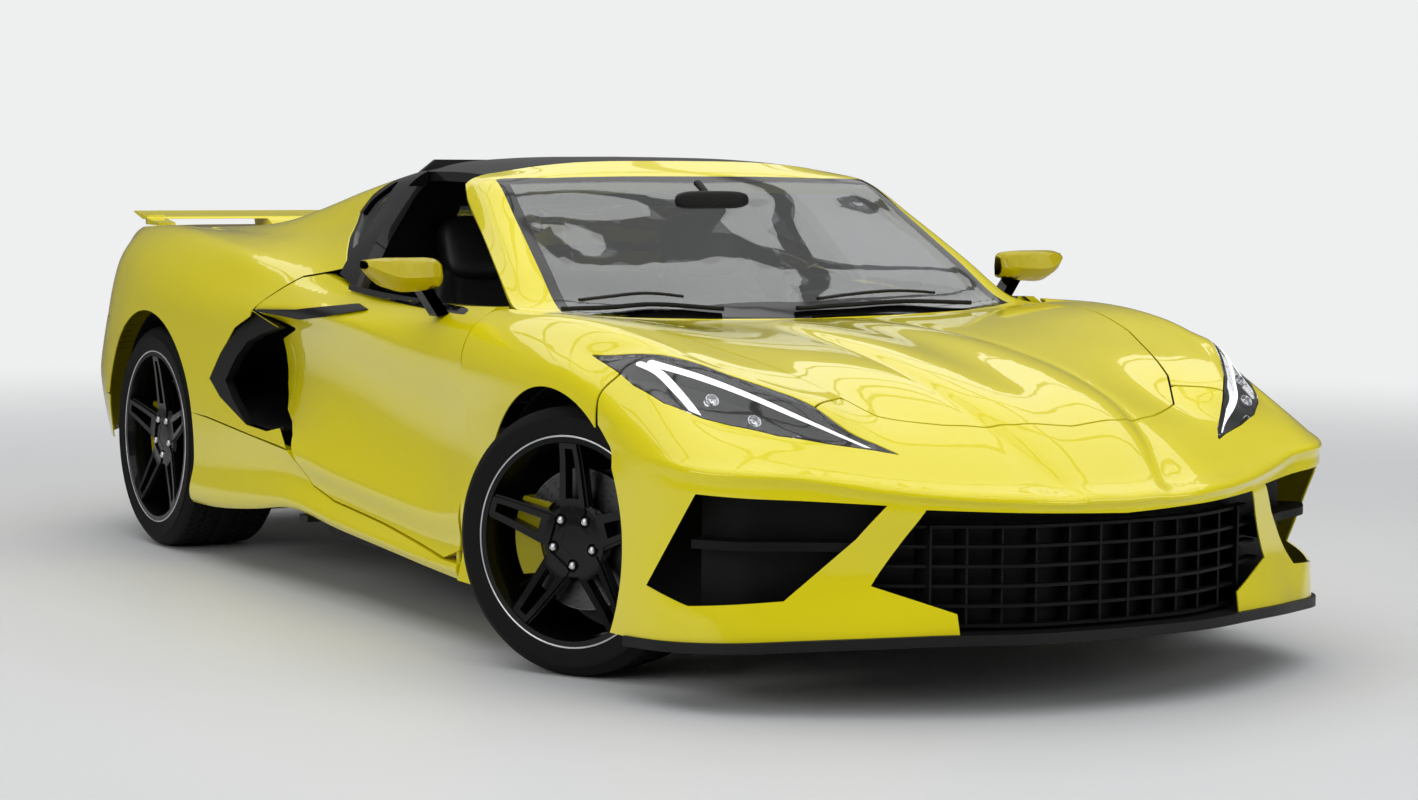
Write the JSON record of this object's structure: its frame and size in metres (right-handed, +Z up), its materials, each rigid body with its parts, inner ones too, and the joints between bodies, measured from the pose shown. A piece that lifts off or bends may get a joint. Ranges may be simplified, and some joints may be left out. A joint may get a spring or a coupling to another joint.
{
  "type": "mid-engined two-seat sports coupe",
  "caption": "Low mid-engined two-seat sports coupe with steering front wheels, opening doors, front luggage lid, rear hatch, lift-out targa roof panel and hollow cabin, rolling on four wheels.",
  "frame": {"origin": "On the ground under the middle of the car's length and width.", "axes": "+Z up, +Y towards the tail, +X towards the car's left side (driver's side)."},
  "size_m": [2.192, 4.6388, 1.2377],
  "materials": {
    "paint": "gloss",
    "black_paint": "gloss",
    "black_plastic": "satin",
    "gloss_black": "gloss",
    "window_glass": "gloss",
    "lamp_lens": "gloss",
    "tail_lens": "gloss",
    "leather": "satin",
    "rim_paint": "satin",
    "tread": "matte",
    "disc_steel": "brushed",
    "cast": "rough",
    "alloy": "satin",
    "tip_chrome": "polished",
    "caliper_paint": "gloss"
  },
  "bodies": {
    "body": {"chassis": "black_plastic", "nose_cover": "paint", "front_wings": "paint", "headlamp_housings": "gloss_black", "headlamp_lenses": "lamp_lens", "nose_grilles": "black_plastic", "splitter": "black_plastic", "luggage_tub": "black_plastic", "sills": "paint", "rear_wings": "paint", "intake_blades": "black_plastic", "windscreen": "window_glass", "windscreen_frame": "paint", "roof_hoop": "black_paint", "quarter_glass": "window_glass", "tail_cover": "paint", "tail_lamps": "tail_lens", "exhaust_tips": "tip_chrome", "diffuser": "black_plastic", "dashboard": "black_plastic", "steering_wheel": "gloss_black", "console": "black_plastic", "seats": "leather", "powertrain": "cast", "cowl": "black_plastic", "rear_uprights": "alloy", "rear_calipers": "caliper_paint", "front_suspension_arms": "alloy", "rear_suspension_arms": "alloy", "drive_shafts": "disc_steel", "wheel_liners": "black_plastic"},
    "front_lid": {"front_lid": "paint"},
    "rear_hatch": {"rear_hatch": "paint", "rear_glass": "window_glass", "spoiler": "paint"},
    "roof_panel": {"roof_panel": "black_paint"},
    "left_door": {"left_door": "paint", "left_door_blade": "black_plastic", "left_mirror": "paint"},
    "left_knuckle": {"front_left_knuckle": "alloy", "front_left_caliper": "caliper_paint"},
    "front_left_wheel": {"front_left_rim": "rim_paint", "front_left_tyre": "tread", "front_left_disc": "disc_steel"},
    "rear_left_wheel": {"rear_left_rim": "rim_paint", "rear_left_tyre": "tread", "rear_left_disc": "disc_steel"},
    "right_door": {"right_door": "paint", "right_door_blade": "black_plastic", "right_mirror": "paint"},
    "right_knuckle": {"front_right_knuckle": "alloy", "front_right_caliper": "caliper_paint"},
    "front_right_wheel": {"front_right_rim": "rim_paint", "front_right_tyre": "tread", "front_right_disc": "disc_steel"},
    "rear_right_wheel": {"rear_right_rim": "rim_paint", "rear_right_tyre": "tread", "rear_right_disc": "disc_steel"}
  },
  "joints": [
    {"name": "steer_left", "type": "hinge", "parent": "body", "child": "left_knuckle", "pos_m": [0.824, -1.275, 0.327], "axis": [0, 0, 1], "range_deg": [-60.7, 5.3]},
    {"name": "spin_front_left", "type": "hinge", "parent": "left_knuckle", "child": "front_left_wheel", "pos_m": [0.824, -1.275, 0.327], "axis": [0.8854, 0.4648, 0], "continuous": true},
    {"name": "spin_rear_left", "type": "hinge", "parent": "body", "child": "rear_left_wheel", "pos_m": [0.793, 1.447, 0.3455], "axis": [1, 0, 0], "continuous": true},
    {"name": "left_door_hinge", "type": "hinge", "parent": "body", "child": "left_door", "pos_m": [0.917, -0.715, 0.5], "axis": [0, 0, -1], "range_deg": [0, 65]},
    {"name": "steer_right", "type": "hinge", "parent": "body", "child": "right_knuckle", "pos_m": [-0.824, -1.275, 0.327], "axis": [0, 0, 1], "range_deg": [-60.7, 5.3]},
    {"name": "spin_front_right", "type": "hinge", "parent": "right_knuckle", "child": "front_right_wheel", "pos_m": [-0.824, -1.275, 0.327], "axis": [0.8854, 0.4648, 0], "continuous": true},
    {"name": "spin_rear_right", "type": "hinge", "parent": "body", "child": "rear_right_wheel", "pos_m": [-0.793, 1.447, 0.3455], "axis": [1, 0, 0], "continuous": true},
    {"name": "right_door_hinge", "type": "hinge", "parent": "body", "child": "right_door", "pos_m": [-0.917, -0.715, 0.5], "axis": [0, 0, 1], "range_deg": [0, 65]},
    {"name": "front_lid_hinge", "type": "hinge", "parent": "body", "child": "front_lid", "pos_m": [0, -0.935, 0.84], "axis": [-1, 0, 0], "range_deg": [0, 55]},
    {"name": "rear_hatch_hinge", "type": "hinge", "parent": "body", "child": "rear_hatch", "pos_m": [0, 0.385, 1.235], "axis": [1, 0, 0], "range_deg": [0, 55]},
    {"name": "roof_lift", "type": "slide", "parent": "body", "child": "roof_panel", "axis": [0, 0, 1], "range_m": [0, 0.35]}
  ],
  "couplings": [
    {"joint": "steer_right", "follows": "steer_left", "ratio": 1}
  ]
}
